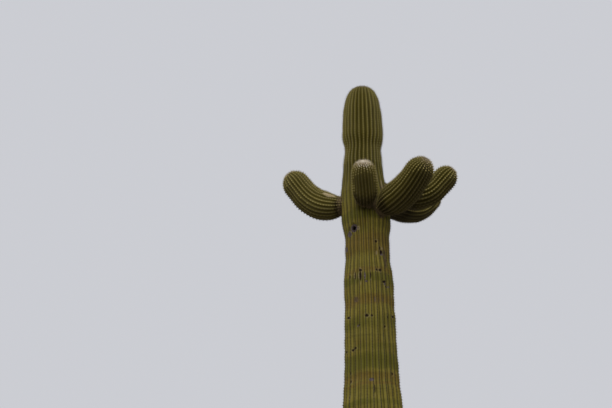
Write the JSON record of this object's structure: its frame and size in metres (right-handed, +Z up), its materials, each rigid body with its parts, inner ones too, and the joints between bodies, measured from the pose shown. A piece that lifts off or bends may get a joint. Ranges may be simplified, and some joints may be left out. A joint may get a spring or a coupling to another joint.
{
  "type": "saguaro cactus",
  "caption": "Tall ribbed columnar cactus with a rounded top and a whorl of short upturned arms high on its trunk, cut flat at ground level.",
  "frame": {"origin": "centre of the flat cut under the trunk, at ground level", "axes": "+Z up along the plant's height; -Y towards the side that the arms are seen from; +X to the right from there"},
  "size_m": [1.5183, 1.1531, 6.174],
  "materials": {
    "trunk_skin": "waxy matte olive green skin over ribs, browned in the grooves, corky near the ground",
    "arm_skin": "waxy matte olive green skin, a little yellower than the trunk",
    "spines": "dry grey tan spines",
    "areole_wool": "felted grey and cream wool",
    "scar_cork": "dry purple grey callus and dark holes"
  },
  "bodies": {
    "root": {"trunk": "trunk_skin", "arm_left_lower": "arm_skin", "arm_left_upper": "arm_skin", "arm_front_lower": "arm_skin", "arm_front_upper": "arm_skin", "arm_front_right_lower": "arm_skin", "arm_front_right_upper": "arm_skin", "arm_right_lower": "arm_skin", "arm_right_upper": "arm_skin", "arm_back_right_lower": "arm_skin", "arm_back_right_upper": "arm_skin"}
  },
  "joints": []
}
